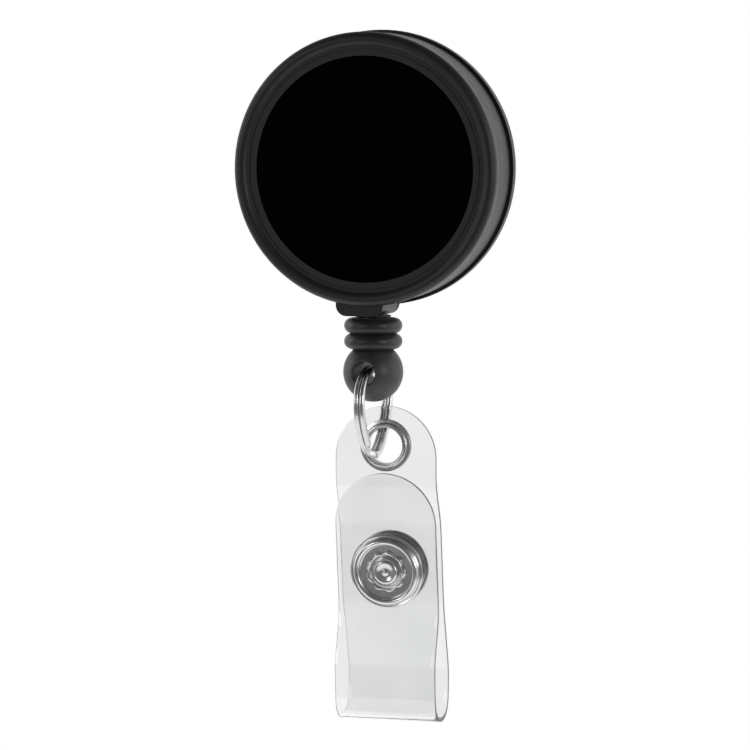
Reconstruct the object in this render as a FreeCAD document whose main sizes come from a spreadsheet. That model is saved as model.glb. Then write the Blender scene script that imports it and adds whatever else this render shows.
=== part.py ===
import FreeCAD, Part
import math
import os
import re
import Sketcher
from FreeCAD import Placement, Rotation, Vector

# Retractable badge reel with a slide belt clip and a snap-closed vinyl badge strap.
#
# Frame: the reel hangs upright. The labelled face looks along -Y, +Z is up and X = 0 is the plane of
# symmetry of the housing and the bead; the outlet boss and the strap sit a little to either side of it.
# The origin is the middle of the belt clip's gap, level with the spool's axle.
# "Depth" is counted backwards (+Y) from the face of the label disc; "height" on the axle is counted
# forwards (-Y) from the flat back of the rear shell.

SIZES = (
    # housing
    ("rim_radius", 16.1, "outermost radius of the front bezel"),
    ("side_radius", 15.9, "radius of the front shell's side wall"),
    ("rear_radius", 16.25, "radius of the rear shell's side wall"),
    ("side_wall", 1.2, "thickness of the side walls"),
    ("bead_radius", 0.85, "section radius of the half-round bezel bead"),
    ("bead_sink", 0.42, "depth of the bead's section centre"),
    ("line_radius", 14.1, "middle radius of the fine groove turned in the lip"),
    ("line_width", 0.2, "width of that groove"),
    ("line_depth", 0.1, "depth of that groove"),
    ("housing_depth", 9.0, "label face to flat back"),
    ("front_wall", 1.0, "thickness of the front shell behind the label"),
    ("back_wall", 1.2, "thickness of the rear shell's flat back"),
    ("back_round", 1.4, "radius of the rear shell's back edge"),
    ("rear_rim", 2.25, "height of the rear shell's side wall"),
    ("front_rim", 2.6, "height at which the front shell's side wall ends"),
    ("spigot_top", 3.3, "height of the rear shell's locating spigot"),
    ("spigot_radius", 15.45, "outer radius of the spigot"),
    ("seat_gap", 0.05, "clearance of seated pieces"),
    ("axial_gap", 0.1, "end clearance of the spigot"),
    ("disc_radius", 13.25, "radius of the label disc"),
    ("disc_thick", 0.6, "thickness of the label disc"),
    ("post_radius", 1.5, "radius of the axle post"),
    ("post_top", 7.0, "height of the axle post"),
    ("post_slot", 0.3, "width of the slot that holds the spring's inner end"),
    # cord outlet
    ("boss_width", 5.8, "width of the outlet boss"),
    ("boss_side", 0.75, "distance of the boss's middle to the -X side of the cord"),
    ("boss_drop", 17.3, "distance of the boss's underside below the axle"),
    ("boss_start", 15.55, "distance of the boss's root below the axle"),
    ("boss_front", 0.5, "depth of the boss's front face"),
    ("boss_tab", 0.45, "thickness of the boss's rear half"),
    ("boss_round", 1.3, "radius of the boss's lower corners"),
    ("cord_depth", 3.6, "depth of the cord's line"),
    ("bush_radius", 1.7, "radius of the outlet bush"),
    ("bush_length", 2.85, "length of the bush above its flange"),
    ("bush_flange", 2.1, "radius of the bush's flange"),
    ("bush_lip", 0.2, "thickness of the bush's flange"),
    ("bush_hole", 0.7, "radius of the cord hole"),
    # belt clip
    ("clip_width", 12.0, "width of the spring-steel clip"),
    ("clip_thick", 0.6, "thickness of the clip's steel"),
    ("clip_gap", 2.4, "gap between the clip's base and arm"),
    ("clip_top", 11.5, "height of the bend's centre above the axle"),
    ("clip_foot", 9.0, "distance of the base plate's lower end below the axle"),
    ("clip_corner", 2.0, "corner radius of the clip's free ends"),
    ("base_bend", 74.0, "share of the clip's upper bend on its base plate, in degrees"),
    ("arm_upper", 9.0, "straight run of the arm below its bend"),
    ("arm_bow", 20.0, "radius of the arm's inward bow"),
    ("arm_pinch", 5.0, "angle of that bow, in degrees"),
    ("arm_lower", 12.0, "straight run of the arm towards its tip"),
    ("flare_radius", 3.0, "radius of the tip's flare"),
    ("flare_angle", 45.0, "angle of the flare, in degrees"),
    ("arm_lip", 1.8, "straight run of the flared tip"),
    ("arm_foot", 15.1, "lowest point of the arm's outline, below the axle"),
    ("rivet_head", 2.2, "radius of the rivet's head"),
    ("rivet_rise", 0.45, "height of the rivet's head"),
    ("rivet_radius", 0.8, "radius of the rivet's shank"),
    ("rivet_length", 4.5, "length of the rivet in the post"),
    # spool, spring and wound cord
    ("spool_radius", 13.9, "radius of the spool's flanges"),
    ("drum_radius", 8.0, "radius that the cord is wound on"),
    ("cup_radius", 7.4, "inner radius of the spring cup"),
    ("flange_thick", 0.5, "thickness of the spool's flanges"),
    ("channel", 2.4, "width of the cord channel"),
    ("spool_low", 1.5, "height of the spool's rear edge"),
    ("spool_bore", 1.55, "radius of the spool's bore"),
    ("cover_thick", 0.3, "thickness of the spring cover"),
    ("spring_thick", 0.15, "thickness of the spring strip"),
    ("spring_width", 3.3, "width of the spring strip"),
    ("spring_inner", 1.75, "radius of the spring's innermost turn"),
    ("spring_outer", 7.15, "radius of the spring's outermost turn"),
    ("spring_turns", 10, "number of turns"),
    ("cord_radius", 0.4, "radius of the cord"),
    ("wound_radius", 11.9, "radius of the wound cord's last layer"),
    ("cord_top", 12.6, "where the cord leaves the winding, below the axle"),
    # bead and bumpers
    ("bumper_radius", 3.44, "radius of the rubber bumper rings"),
    ("bumper_height", 1.84, "height of one bumper ring"),
    ("bumper_pitch", 1.85, "distance between the bumper rings"),
    ("bumper_drop", 17.6, "top of the upper bumper ring, below the axle"),
    ("stem_radius", 1.6, "radius of the bead's stem"),
    ("ball_radius", 3.55, "radius of the ball"),
    ("ball_drop", 24.0, "centre of the ball, below the axle"),
    ("eye_radius", 1.4, "radius of the hole through the ball"),
    ("eye_turn", 4.0, "turn of that hole about the cord, in degrees, its front end to the -X side"),
    ("thread_radius", 0.55, "radius of the cord hole in the stem"),
    ("knot_radius", 1.0, "radius of the stopper knot"),
    ("knot_drop", 21.6, "centre of the knot, below the axle"),
    # split ring
    ("wire_width", 0.62, "width of the split ring's wire along X"),
    ("wire_thick", 0.85, "thickness of the wire across the coil"),
    ("coil_pitch", 0.67, "distance between the two turns"),
    ("ring_half_width", 5.3, "half width of the wire's centre line, front to back"),
    ("ring_half_height", 5.1, "half height of the wire's centre line"),
    ("ring_drop", 28.7, "centre of the ring, below the axle"),
    ("ring_egg", 0.3, "how much narrower the ring is at its foot"),
    ("ring_lap", 16.0, "half of the step between turns, in degrees of the ring"),
    # strap
    ("strap_width", 12.4, "width of the vinyl strap"),
    ("strap_thick", 0.5, "thickness of the vinyl"),
    ("strap_top", 28.2, "top of the strap, below the axle"),
    ("strap_depth", 6.1, "depth of the strap at the eyelet"),
    ("strap_side", 0.8, "distance of the strap's middle to the +X side of the cord"),
    ("flap_top", 36.2, "top of the flap, below the axle"),
    ("fold_drop", 65.8, "lowest point of the strap's centre line, below the axle"),
    ("fold_depth", 8.4, "depth of that point"),
    ("back_high", 37.6, "upper bend of the rear layer, below the axle"),
    ("back_middle", 42.0, "second bend of the rear layer"),
    ("back_low", 52.2, "third bend of the rear layer"),
    ("back_bow", 8.0, "radius of that bend"),
    ("back_bulge_drop", 60.2, "widest point of the rear layer's bulge, below the axle"),
    ("back_bulge_depth", 11.4, "depth of that point"),
    ("back_foot_depth", 11.1, "depth of the rear layer where it turns into the fold"),
    ("flap_low", 53.4, "bend of the flap below the snap"),
    ("flap_bulge_drop", 58.9, "foremost point of the flap's bulge, below the axle"),
    ("flap_bulge_depth", 5.6, "depth of that point"),
    ("flap_foot_depth", 6.0, "depth of the flap where it turns into the fold"),
    ("strap_bend", 6.0, "radius of the strap's soft bends"),
    ("fold_bend", 2.3, "radius of the two bends of the fold"),
    ("fold_gap", 0.2, "gap between the flap's rounded root and the rest of the strap"),
    ("eyelet_drop", 32.9, "centre of the eyelet, below the axle"),
    ("eyelet_hole", 2.1, "radius of the eyelet's hole"),
    ("eyelet_radius", 3.1, "radius of the eyelet's flange"),
    ("barrel_wall", 0.25, "wall thickness of the eyelet's barrel"),
    ("washer_thick", 0.3, "thickness of the eyelet's washer and flange"),
    # snap fastener
    ("snap_drop", 47.8, "centre of the snap, below the axle"),
    ("snap_depth", 7.69, "depth of the middle of the snap"),
    ("snap_lean", 7.0, "lean of the snap's axis, in degrees"),
    ("layer_gap", 1.6, "gap between the strap's two layers at the snap"),
    ("snap_reach", 2.0, "half length of the snap's frame"),
    ("snap_radius", 4.5, "radius of the snap's outer flanges"),
    ("snap_flange", 0.3, "thickness of the snap's flanges"),
    ("socket_radius", 3.3, "radius of the socket"),
    ("socket_hole", 1.75, "radius of the socket's mouth"),
    ("stud_hole", 1.25, "radius of the stud's hole in the rear layer"),
    ("post_hole", 1.0, "radius of the post's hole in the flap"),
    ("stud_radius", 1.55, "radius of the stud's head"),
    ("stud_base", 3.2, "radius of the stud's base"),
    ("roll_middle", 3.65, "middle radius of the front ring's rolled edge"),
    ("roll_radius", 0.38, "section radius of the rolled edge"),
    ("petal_middle", 2.15, "middle radius of the crimped petals"),
    ("petal_radius", 0.42, "radius of one petal"),
    ("petal_count", 9, "number of petals"),
    ("dome_radius", 1.6, "radius of the post's centre dome"),
)

PRISM_SPAN = 40.0        # size of the blocks that trim the outlines of bent strips
FACE_FORWARD = 90.0      # turn about X that points a piece's own Z axis along -Y
BACK_Y = "-clip_gap / 2 - clip_thick"
FACE_Y = "-clip_gap / 2 - clip_thick - housing_depth"
CORD_Y = "-clip_gap / 2 - clip_thick - housing_depth + cord_depth"

doc = FreeCAD.newDocument("BadgeReel")
sheet = doc.addObject("Spreadsheet::Sheet", "Sizes")
for row, (alias, amount, meaning) in enumerate(SIZES, start=1):
    sheet.set(f"A{row}", meaning)
    sheet.set(f"B{row}", str(amount))
    sheet.setAlias(f"B{row}", alias)
doc.recompute()

ALIAS_WORD = re.compile(r"\b(" + "|".join(alias for alias, amount, meaning in SIZES) + r")\b")


def formula(text):
    """The text as an expression on the sheet."""
    return ALIAS_WORD.sub(r"Sizes.\1", text)


def size(text):
    """The number that a formula gives now."""
    return float(sheet.evalExpression(formula(text)))


def place(item, x="0", y="0", z="0", tilt=0.0):
    """Put an item at a point given by formulas, turned by tilt degrees about X."""
    item.Placement = Placement(Vector(size(x), size(y), size(z)), Rotation(Vector(1, 0, 0), tilt))
    for axis, text in zip("xyz", (x, y, z)):
        item.setExpression(f"Placement.Base.{axis}", formula(text))
    return item


def solid(kind, label, at=("0", "0", "0"), tilt=0.0, **formulas):
    """A Part primitive whose sizes are formulas."""
    item = doc.addObject(f"Part::{kind}", label)
    for name, text in formulas.items():
        item.setExpression(name, formula(text))
    return place(item, *at, tilt=tilt)


def fuse(label, *pieces):
    item = doc.addObject("Part::MultiFuse", label)
    item.Shapes = list(pieces)
    return item


def cut(label, base, *tools):
    item = doc.addObject("Part::Cut", label)
    item.Base = base
    item.Tool = tools[0] if len(tools) == 1 else fuse(label + "_tools", *tools)
    return item


def common(label, first, second):
    item = doc.addObject("Part::MultiCommon", label)
    item.Shapes = [first, second]
    return item


def shaped(label, shape):
    item = doc.addObject("Part::Feature", label)
    item.Shape = shape
    return item


def rounded(label, base, radius, chosen):
    """Fillet the edges of base that chosen(edge) picks."""
    doc.recompute()
    item = doc.addObject("Part::Fillet", label)
    item.Base = base
    amount = size(radius)
    numbers = [n for n, edge in enumerate(base.Shape.Edges, start=1) if chosen(edge)]
    item.Edges = [(n, amount, amount) for n in numbers]
    return item


def turned(label, outline, at=("0", "0", "0"), tilt=0.0):
    """A body turned about its own Z axis from rows of (radius, height) formulas.

    A third formula makes the edge to the next row an arc of that radius, its centre on the left.
    """
    body = doc.addObject("PartDesign::Body", label)
    sketch = body.newObject("Sketcher::SketchObject", label + "_outline")
    plane = next(item for item in body.Origin.OriginFeatures if item.Role == "XZ_Plane")
    sketch.AttachmentSupport = [(plane, "")]
    sketch.MapMode = "FlatFace"
    corners = [Vector(size(row[0]), size(row[1]), 0) for row in outline]
    count = len(corners)
    for number, row in enumerate(outline):
        start, end = corners[number], corners[(number + 1) % count]
        edge = Part.LineSegment(start, end)
        if len(row) == 3:
            edge = arc_to(start, end, size(row[2]))
        sketch.addGeometry(edge)
    for number in range(count):
        sketch.addConstraint(Sketcher.Constraint("Coincident", number, 2, (number + 1) % count, 1))
    for number, row in enumerate(outline):
        hold(sketch, number, "DistanceX", -2, row[0])
        hold(sketch, number, "DistanceY", -1, row[1])
        if len(row) == 3:
            index = sketch.addConstraint(Sketcher.Constraint("Radius", number, size(row[2])))
            sketch.setExpression(f"Constraints[{index}]", formula(row[2]))
    turn = body.newObject("PartDesign::Revolution", label + "_turn")
    turn.Profile = sketch
    turn.ReferenceAxis = (sketch, ["V_Axis"])
    turn.Angle = 360
    return place(body, *at, tilt=tilt)


def arc_to(start, end, radius):
    """Arc of a radius from start to end in the sketch's plane, its centre on the left."""
    chord = end - start
    middle = (start + end) * 0.5
    left = Vector(-chord.y, chord.x, 0).normalize()
    rise = math.sqrt(max(radius ** 2 - chord.Length ** 2 / 4, 0))
    crown = middle - left * (radius - rise)
    return Part.Arc(start, crown, end)


def hold(sketch, number, kind, axis, text):
    """Tie one coordinate of a line's first point to a formula, or to the axis where it is 0."""
    amount = size(text)
    if abs(amount) < 1e-9:
        sketch.addConstraint(Sketcher.Constraint("PointOnObject", number, 1, axis))
        return
    index = sketch.addConstraint(Sketcher.Constraint(kind, -1, 1, number, 1, amount))
    sketch.setExpression(f"Constraints[{index}]", formula(text))


def depth_y(depth):
    return size(FACE_Y) + depth


# ---------------------------------------------------------------- housing

def front_shell():
    """Moulded cup with the bead bezel, the recess for the label and the outlet boss."""
    line_in = "line_radius - line_width / 2"
    line_out = "line_radius + line_width / 2"
    cup = turned("front_cup", (
        ("0", "housing_depth - disc_thick - front_wall"),
        ("side_radius - side_wall", "housing_depth - disc_thick - front_wall"),
        ("side_radius - side_wall", "spigot_top + axial_gap"),
        ("spigot_radius + seat_gap", "spigot_top + axial_gap"),
        ("spigot_radius + seat_gap", "front_rim"),
        ("side_radius", "front_rim"),
        ("side_radius + 0.05", "housing_depth - 1.8"),
        ("rim_radius", "housing_depth - bead_sink", "bead_radius"),
        ("rim_radius - bead_radius", "housing_depth - bead_sink + bead_radius", "bead_radius"),
        ("rim_radius - bead_radius - sqrt(bead_radius^2 - bead_sink^2)", "housing_depth"),
        (line_out, "housing_depth"),
        (line_out, "housing_depth - line_depth"),
        (line_in, "housing_depth - line_depth"),
        (line_in, "housing_depth"),
        ("disc_radius + seat_gap", "housing_depth"),
        ("disc_radius + seat_gap", "housing_depth - disc_thick"),
        ("0", "housing_depth - disc_thick"),
    ), at=("0", BACK_Y, "0"), tilt=FACE_FORWARD)
    boss = boss_block("front_boss", FACE_Y + " + boss_front", "housing_depth - front_rim - boss_front")
    bore = solid("Cylinder", "outlet_bore", at=("0", CORD_Y, "-boss_drop - 1"),
                 Radius="bush_radius + seat_gap", Height="boss_drop - 13")
    return cut("front_shell", fuse("front_blank", cup, boss), bore)


def boss_block(label, y, thickness):
    block = solid("Box", label + "_block", at=("-boss_width / 2 - boss_side", y, "-boss_drop"),
                  Length="boss_width", Width=thickness, Height="boss_drop - boss_start")
    low = -size("boss_drop")

    def lower_side(edge):
        ends = [vertex.Point for vertex in edge.Vertexes]
        return all(abs(end.z - low) < 1e-6 for end in ends) and abs(ends[0].x - ends[1].x) < 1e-6

    return rounded(label, block, "boss_round", lower_side)


def face_disc():
    """Plain label disc pressed into the bezel's recess."""
    return turned("face_disc", (
        ("0", "0"),
        ("disc_radius", "0"),
        ("disc_radius", "disc_thick - 0.08"),
        ("disc_radius - 0.08", "disc_thick"),
        ("0", "disc_thick"),
    ), at=("0", FACE_Y + " + disc_thick", "0"), tilt=FACE_FORWARD)


def rear_shell():
    """Shallow moulded cup with the locating spigot, the axle post and half of the boss."""
    cup = turned("rear_cup", (
        ("0", "0"),
        ("rear_radius", "0"),
        ("rear_radius", "rear_rim"),
        ("spigot_radius", "rear_rim"),
        ("spigot_radius", "spigot_top"),
        ("side_radius - side_wall", "spigot_top"),
        ("side_radius - side_wall", "back_wall"),
        ("post_radius", "back_wall"),
        ("post_radius", "post_top"),
        ("0", "post_top"),
    ), at=("0", BACK_Y, "0"), tilt=FACE_FORWARD)
    radius = size("rear_radius")
    back = size(BACK_Y)

    def back_edge(edge):
        centre = edge.CenterOfMass
        return abs(edge.Length - 2 * math.pi * radius) < 0.1 and abs(centre.y - back) < 1e-6

    soft_cup = rounded("rear_rounded", cup, "back_round", back_edge)
    boss = boss_block("rear_boss", BACK_Y + " - rear_rim", "boss_tab")
    rivet_hole = solid("Cylinder", "rivet_hole", at=("0", BACK_Y + " + 1", "0"), tilt=FACE_FORWARD,
                       Radius="rivet_radius", Height="rivet_length + 1")
    slot = solid("Box", "spring_slot", at=("-post_slot / 2", BACK_Y + " - post_top - 1", "0"),
                 Length="post_slot", Width="post_top - rivet_length + 0.5", Height="post_radius + 1")
    return cut("rear_shell", fuse("rear_blank", soft_cup, boss), rivet_hole, slot)


def cord_outlet():
    """Hard bush that the cord runs through, flared at both ends."""
    return turned("cord_outlet", (
        ("bush_hole + 0.25", "0"),
        ("bush_flange - 0.1", "0"),
        ("bush_flange", "0.1"),
        ("bush_flange", "bush_lip"),
        ("bush_radius", "bush_lip"),
        ("bush_radius", "bush_lip + bush_length"),
        ("bush_hole + 0.5", "bush_lip + bush_length"),
        ("bush_hole", "bush_lip + bush_length - 0.6"),
        ("bush_hole", "0.25"),
    ), at=("0", CORD_Y, "-boss_drop - bush_lip"))


# ---------------------------------------------------------------- belt clip

def bent_strip(start, heading, steps, thickness, width):
    """A strip centred on X = 0, bent along straight runs and arcs in the YZ plane.

    steps holds ("run", length) and ("arc", radius, degrees), degrees positive to the left.
    """
    point = Vector(0, *start)
    half = thickness / 2
    left_side = []
    right_side = []
    for step in steps:
        angle = math.radians(heading)
        forward = Vector(0, math.cos(angle), math.sin(angle))
        left = Vector(0, -math.sin(angle), math.cos(angle))
        if step[0] == "run":
            for edges, offset in ((left_side, half), (right_side, -half)):
                first = point + left * offset
                edges.append(Part.LineSegment(first, first + forward * step[1]).toShape())
            point = point + forward * step[1]
            continue
        radius, degrees = step[1:]
        centre = point + left * math.copysign(radius, degrees)
        for edges, offset in ((left_side, half), (right_side, -half)):
            first = point + left * offset
            middle, last = (centre + Rotation(Vector(1, 0, 0), turn).multVec(first - centre)
                            for turn in (degrees / 2, degrees))
            edges.append(Part.Arc(first, middle, last).toShape())
        point = centre + Rotation(Vector(1, 0, 0), degrees).multVec(point - centre)
        heading += degrees
    first_cap = Part.makeLine(left_side[0].Vertexes[0].Point, right_side[0].Vertexes[0].Point)
    last_cap = Part.makeLine(left_side[-1].Vertexes[-1].Point, right_side[-1].Vertexes[-1].Point)
    outline = Part.Wire(Part.__sortEdges__(left_side + [last_cap] + right_side + [first_cap]))
    strip = Part.Face(outline).extrude(Vector(width, 0, 0))
    strip.translate(Vector(-width / 2, 0, 0))
    return strip


def corner_prism(label, low):
    """A prism over Y as wide as the clip, whose lower corners round a strip's free end at the height low."""
    width = size("clip_width")
    half = width / 2
    block = Part.makeBox(width, PRISM_SPAN, PRISM_SPAN - low, Vector(-half, -PRISM_SPAN / 2, low))
    rounds = [edge for edge in block.Edges
              if abs(edge.CenterOfMass.z - low) < 1e-6 and abs(abs(edge.CenterOfMass.x) - half) < 1e-6]
    return shaped(label, block.makeFillet(size("clip_corner"), rounds))


def clip_base():
    """Base plate of the slide clip, riveted flat on the housing, with the rear half of its bend."""
    bend = size("clip_gap / 2 + clip_thick / 2")
    plate = shaped("clip_plate", bent_strip(
        (-bend, -size("clip_foot")), 90.0,
        (("run", size("clip_foot + clip_top")), ("arc", bend, -size("base_bend"))),
        size("clip_thick"), size("clip_width")))
    prism = corner_prism("clip_base_outline", -size("clip_foot"))
    hole = solid("Cylinder", "clip_rivet_hole", at=("0", "0", "0"), tilt=FACE_FORWARD,
                 Radius="rivet_radius", Height="4")
    return cut("clip_base", common("clip_base_blank", plate, prism), hole)


def clip_arm():
    """Springing arm of the clip: runs down behind the belt, pinches in, then flares out at its tip."""
    bend = size("clip_gap / 2 + clip_thick / 2")
    arm = shaped("clip_blade", bent_strip(
        (0.0, size("clip_top") + bend), 0.0,
        (("arc", bend, -90.0),
         ("run", size("arm_upper")), ("arc", size("arm_bow"), -size("arm_pinch")),
         ("run", size("arm_lower")), ("arc", size("flare_radius"), size("flare_angle")),
         ("run", size("arm_lip"))),
        size("clip_thick"), size("clip_width")))
    knuckle_at = ("-clip_width / 2", "0", "clip_top + clip_gap / 2 + clip_thick / 2")
    knuckle = solid("Cylinder", "clip_knuckle", at=knuckle_at, Radius="clip_thick / 2", Height="clip_width")
    knuckle.Placement.Rotation = Rotation(Vector(0, 1, 0), 90)
    prism = corner_prism("clip_arm_outline", -size("arm_foot"))
    return common("clip_arm", fuse("clip_arm_blank", arm, knuckle), prism)


def clip_rivet():
    """Rivet through the base plate into the axle post."""
    return turned("clip_rivet", (
        ("0", "0"),
        ("rivet_head - 0.9", "0"),
        ("rivet_head - 0.25", "rivet_rise * 0.45"),
        ("rivet_head", "rivet_rise"),
        ("rivet_radius", "rivet_rise"),
        ("rivet_radius", "rivet_rise + clip_thick + rivet_length"),
        ("0", "rivet_rise + clip_thick + rivet_length"),
    ), at=("0", "-clip_gap / 2 + rivet_rise", "0"), tilt=FACE_FORWARD)


# ---------------------------------------------------------------- spool and cord

CHANNEL_LOW = "housing_depth - cord_depth - channel / 2"
CHANNEL_HIGH = "housing_depth - cord_depth + channel / 2"


def spool():
    """Cord spool: two flanges round a drum that is also the spring's cup, open at the rear."""
    return turned("spool", (
        ("spool_bore", CHANNEL_HIGH + " - 0.7"),
        ("spool_bore", CHANNEL_HIGH + " + flange_thick"),
        ("spool_radius", CHANNEL_HIGH + " + flange_thick"),
        ("spool_radius", CHANNEL_HIGH),
        ("drum_radius", CHANNEL_HIGH),
        ("drum_radius", CHANNEL_LOW),
        ("spool_radius", CHANNEL_LOW),
        ("spool_radius", CHANNEL_LOW + " - flange_thick"),
        ("drum_radius", CHANNEL_LOW + " - flange_thick"),
        ("drum_radius", "spool_low"),
        ("cup_radius", "spool_low"),
        ("cup_radius", CHANNEL_HIGH + " - 0.3"),
        ("spool_bore + 0.85", CHANNEL_HIGH + " - 0.3"),
        ("spool_bore + 0.85", CHANNEL_HIGH + " - 0.7"),
    ), at=("0", BACK_Y, "0"), tilt=FACE_FORWARD)


def spring_cover():
    """Thin disc that keeps the spring in its cup."""
    return turned("spring_cover", (
        ("spool_bore + seat_gap", "0"),
        ("cup_radius - seat_gap", "0"),
        ("cup_radius - seat_gap", "cover_thick"),
        ("spool_bore + seat_gap", "cover_thick"),
    ), at=("0", BACK_Y + " - spool_low - 0.1", "0"), tilt=FACE_FORWARD)


def spiral_spring():
    """Flat clock spring, relaxed enough to fill its cup evenly."""
    inner = size("spring_inner")
    growth = (size("spring_outer") - inner) / size("spring_turns")
    steps = int(size("spring_turns")) * 16

    def spiral(offset):
        points = []
        for step in range(steps + 1):
            turns = step / 16
            radius = inner + growth * turns + offset
            angle = 2 * math.pi * turns + math.pi / 2
            points.append(Vector(radius * math.cos(angle), 0, radius * math.sin(angle)))
        curve = Part.BSplineCurve()
        curve.interpolate(points)
        return curve.toShape()

    near = spiral(-size("spring_thick") / 2)
    far = spiral(size("spring_thick") / 2)
    caps = [Part.makeLine(near.Vertexes[end].Point, far.Vertexes[end].Point) for end in (0, 1)]
    strip = Part.Face(Part.Wire([near, caps[1], far, caps[0]])).extrude(Vector(0, -size("spring_width"), 0))
    item = shaped("spiral_spring", strip)
    item.Placement = Placement(Vector(0, size(BACK_Y + " - spool_low - cover_thick - 0.5"), 0), Rotation())
    return item


def wound_cord():
    """The cord's turns on the drum, with the last layer's three turns showing."""
    core = turned("wound_core", (
        ("drum_radius + seat_gap", CHANNEL_LOW + " + seat_gap"),
        ("wound_radius", CHANNEL_LOW + " + seat_gap"),
        ("wound_radius", CHANNEL_HIGH + " - seat_gap"),
        ("drum_radius + seat_gap", CHANNEL_HIGH + " - seat_gap"),
    ), at=("0", BACK_Y, "0"), tilt=FACE_FORWARD)
    turns = [solid("Torus", f"wound_turn_{number}", at=("0", f"{CORD_Y} + {number - 1} * channel * 0.31", "0"),
                   tilt=FACE_FORWARD, Radius1="wound_radius", Radius2="cord_radius")
             for number in range(3)]
    return fuse("wound_cord", core, *turns)


def cord():
    """The stretch of cord from the winding through the outlet to the stopper knot."""
    return solid("Cylinder", "cord", at=("0", CORD_Y, "-knot_drop + knot_radius"),
                 Radius="cord_radius", Height="knot_drop - knot_radius - cord_top")


def cord_knot():
    """Overhand stopper knot pulled up inside the bead."""
    return solid("Sphere", "cord_knot", at=("0", CORD_Y, "-knot_drop"), Radius="knot_radius")


# ---------------------------------------------------------------- bead

def bumper_ring(label, number):
    """Rubber ring with a full-round edge, stretched over the bead's stem."""
    edge = "bumper_height / 2"
    return turned(label, (
        ("stem_radius + seat_gap", "0"),
        ("bumper_radius - bumper_height / 2", "0", edge),
        ("bumper_radius", edge, edge),
        ("bumper_radius - bumper_height / 2", "bumper_height"),
        ("stem_radius + seat_gap", "bumper_height"),
    ), at=("0", CORD_Y, f"-bumper_drop - bumper_height - {number} * bumper_pitch"))


def ball_connector():
    """Bead: a ball cut flat under the bumpers, their stem, and a cross hole for the split ring."""
    seat = "bumper_drop + bumper_pitch + bumper_height + 0.02"
    ball = solid("Sphere", "ball", at=("0", CORD_Y, "-ball_drop"), Radius="ball_radius")
    crown = solid("Cylinder", "ball_crown", at=("0", CORD_Y, f"-({seat})"), Radius="ball_radius", Height="5")
    stem = solid("Cylinder", "stem", at=("0", CORD_Y, "-ball_drop + 1"),
                 Radius="stem_radius", Height="ball_drop - 1 - bumper_drop - 0.05")
    eye = doc.addObject("Part::Cylinder", "eye")
    eye.setExpression("Radius", formula("eye_radius"))
    eye.Height = 10
    turn = Rotation(Vector(0, 0, 1), -size("eye_turn"))
    middle = Placement(Vector(0, size(CORD_Y), -size("ball_drop")), turn)
    eye.Placement = middle * Placement(Vector(0, 5, 0), Rotation(Vector(1, 0, 0), FACE_FORWARD))
    thread = solid("Cylinder", "thread_hole", at=("0", CORD_Y, "-ball_drop"),
                   Radius="thread_radius", Height="ball_drop - 15")
    pocket = solid("Cylinder", "knot_pocket", at=("0", CORD_Y, "-ball_drop"),
                   Radius="knot_radius + 0.1", Height="ball_drop - knot_drop + knot_radius")
    blank = fuse("bead_blank", cut("flat_ball", ball, crown), stem)
    return cut("ball_connector", blank, eye, thread, pocket)


def split_ring():
    """Egg-shaped split ring: one flat wire wound twice, stepping across at the top."""
    depth = size(CORD_Y)
    drop = size("ring_drop")
    lap = math.radians(size("ring_lap"))
    half_width = size("ring_half_width")
    half_height = size("ring_half_height")
    egg = size("ring_egg")
    pitch = size("coil_pitch")
    seam = math.radians(250.0)

    def centre_line(turn):
        """Point of the wire's centre line, turn in radians from the seam."""
        angle = seam + turn
        across = half_width * math.cos(angle) * (1 + egg * math.sin(angle))
        step = min(max((turn - 2 * math.pi) / lap, -1.0), 1.0)
        side = pitch / 2 * math.sin(step * math.pi / 2)
        return Vector(side, depth + across, -drop + half_height * math.sin(angle))

    count = 96
    first = lap * 1.2
    last = 4 * math.pi - first
    points = [centre_line(first + (last - first) * step / count) for step in range(count + 1)]
    curve = Part.BSplineCurve()
    curve.interpolate(points)
    spine = Part.Wire(curve.toShape())
    along = curve.tangent(curve.FirstParameter)[0]
    aside = Vector(1, 0, 0) * (size("wire_width") / 2)
    outward = along.cross(Vector(1, 0, 0)).normalize() * (size("wire_thick") / 2)
    corners = [points[0] + aside * i + outward * j for i, j in ((1, 1), (-1, 1), (-1, -1), (1, -1))]
    section = Part.makePolygon(corners + corners[:1])
    sweep = Part.BRepOffsetAPI.MakePipeShell(spine)
    sweep.setBiNormalMode(Vector(1, 0, 0))
    sweep.add(section)
    sweep.build()
    sweep.makeSolid()
    return shaped("split_ring", sweep.shape())


# ---------------------------------------------------------------- strap

def rounded_route(corners):
    """Steps for bent_strip along straight runs between corners, each corner rounded.

    corners holds (depth, height, bend radius); the first and last have no bend.
    """
    points = [Vector(0, depth, height) for depth, height, bend in corners]
    ways = [(after - before).normalize() for before, after in zip(points, points[1:])]
    turns = [math.degrees(math.atan2(before.y * after.z - before.z * after.y, before.dot(after)))
             for before, after in zip(ways, ways[1:])]
    trims = [0.0] + [abs(math.tan(math.radians(turn) / 2)) * corner[2]
                     for turn, corner in zip(turns, corners[1:])] + [0.0]
    steps = []
    for number, (before, after) in enumerate(zip(points, points[1:])):
        steps.append(("run", (after - before).Length - trims[number] - trims[number + 1]))
        if number < len(turns):
            steps.append(("arc", corners[number + 1][2], turns[number]))
    heading = math.degrees(math.atan2(ways[0].z, ways[0].y))
    start = (depth_y(points[0].y), points[0].z)
    return start, heading, steps


def tab_outline(label, top):
    """Prism over Y that gives a strip's upper end its half-round outline."""
    half = size("strap_width") / 2
    front = -PRISM_SPAN / 2
    centre = -top - half
    side = size("strap_side")
    straight = Part.makeBox(2 * half, PRISM_SPAN, PRISM_SPAN, Vector(side - half, front, centre - PRISM_SPAN))
    end = Part.makeCylinder(half, PRISM_SPAN, Vector(side, front, centre), Vector(0, 1, 0))
    return shaped(label, straight.fuse(end))


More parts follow.
